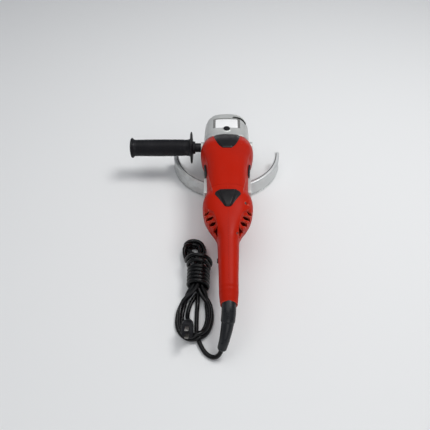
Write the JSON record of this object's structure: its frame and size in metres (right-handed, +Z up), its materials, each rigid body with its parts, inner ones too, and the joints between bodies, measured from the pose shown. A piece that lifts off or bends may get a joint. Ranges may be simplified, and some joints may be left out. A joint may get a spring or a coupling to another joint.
{
  "type": "angle grinder",
  "caption": "Large rear-handle angle grinder standing on its half wheel guard, side handle fitted, no wheel, with its lead tied in a hank.",
  "frame": {"origin": "middle of the footprint of the tool without its free lead, at the surface it stands on", "axes": "+Z up along the wheel spindle, +Y towards the gear case, the side handle points to -X"},
  "size_m": [0.3412, 0.5816, 0.1377],
  "materials": {
    "red_plastic": "moulded glass-filled plastic, fine grain, semi-gloss",
    "cast_aluminium": "die-cast and lacquered silver, semi-gloss",
    "plate_white": "thin bright sheet, satin, blank",
    "guard_steel": "zinc-plated pressed steel, satin, handled",
    "steel": "machined or hardened steel",
    "dark_screws": "blackened steel",
    "copper": "enamelled copper wire and copper bars",
    "brush_brass": "pressed brass",
    "carbon": "graphite",
    "black_plastic": "moulded black plastic, fine grain",
    "pad_rubber": "soft matt rubber",
    "cord_rubber": "smooth black cable rubber"
  },
  "bodies": {
    "housing": {"motor_housing": "red_plastic", "rear_handle_left": "red_plastic", "rear_handle_right": "red_plastic", "gear_case": "cast_aluminium", "bearing_cover": "cast_aluminium", "brush_cover_left": "cast_aluminium", "brush_cover_right": "cast_aluminium", "gear_case_plate": "plate_white", "spindle_bearing": "steel", "needle_bearing": "steel", "motor_front_bearing": "steel", "motor_rear_bearing": "steel", "stator_core": "steel", "lock_spring": "steel", "cord_clamp": "steel", "plug_blade_front": "steel", "plug_blade_rear": "steel", "case_screw_1": "dark_screws", "case_screw_2": "dark_screws", "case_screw_3": "dark_screws", "case_screw_4": "dark_screws", "cover_screw_1": "dark_screws", "cover_screw_2": "dark_screws", "cover_screw_3": "dark_screws", "cover_screw_4": "dark_screws", "handle_screw_front": "dark_screws", "handle_screw_rear": "dark_screws", "field_coil_left": "copper", "field_coil_right": "copper", "brush_holder_left": "brush_brass", "brush_holder_right": "brush_brass", "carbon_brush_left": "carbon", "carbon_brush_right": "carbon", "side_handle_grip": "black_plastic", "side_handle_bolt": "black_plastic", "side_strip_left": "black_plastic", "side_strip_right": "black_plastic", "switch_body": "black_plastic", "air_baffle": "black_plastic", "plug_body": "black_plastic", "front_pad": "pad_rubber", "rear_pad": "pad_rubber", "cord_boot": "cord_rubber", "cord_tube": "cord_rubber", "cord_hank": "cord_rubber"},
    "rotor": {"armature_shaft": "steel", "armature_core": "steel", "armature_windings": "copper", "commutator": "copper", "cooling_fan": "black_plastic", "pinion_gear": "steel"},
    "spindle": {"spindle": "steel", "crown_gear": "steel", "inner_flange": "steel", "flange_nut": "steel"},
    "spindle_lock": {"lock_button": "black_plastic"},
    "guard": {"wheel_guard": "guard_steel", "guard_screw": "dark_screws"},
    "trigger": {"trigger": "black_plastic"},
    "lock_on": {"lock_on_button": "black_plastic"}
  },
  "joints": [
    {"name": "rotor_spin", "type": "hinge", "parent": "housing", "child": "rotor", "pos_m": [0.04544, 0.08063, 0.092], "axis": [0, 1, 0], "continuous": true},
    {"name": "spindle_spin", "type": "hinge", "parent": "housing", "child": "spindle", "pos_m": [0.04544, 0.21063, 0.06], "axis": [0, 0, 1], "continuous": true},
    {"name": "spindle_lock_press", "type": "slide", "parent": "housing", "child": "spindle_lock", "axis": [0, 0, -1], "range_m": [0, 0.006], "stiffness_N_per_m": 400, "springref_m": -0.003, "deforming": ["lock_spring"]},
    {"name": "guard_turn", "type": "hinge", "parent": "housing", "child": "guard", "pos_m": [0.04544, 0.21063, 0.04], "axis": [0, 0, 1], "range_deg": [-90, 90]},
    {"name": "trigger_pull", "type": "hinge", "parent": "housing", "child": "trigger", "pos_m": [0.04544, -0.11937, 0.068], "axis": [-1, 0, 0], "range_deg": [0, 5], "stiffness_Nm_per_rad": 1.5, "springref_deg": -5.73},
    {"name": "lock_on_press", "type": "slide", "parent": "housing", "child": "lock_on", "axis": [1, 0, 0], "range_m": [0, 0.003], "stiffness_N_per_m": 300, "springref_m": -0.002}
  ],
  "couplings": [
    {"joint": "spindle_spin", "follows": "rotor_spin", "ratio": -0.25}
  ]
}
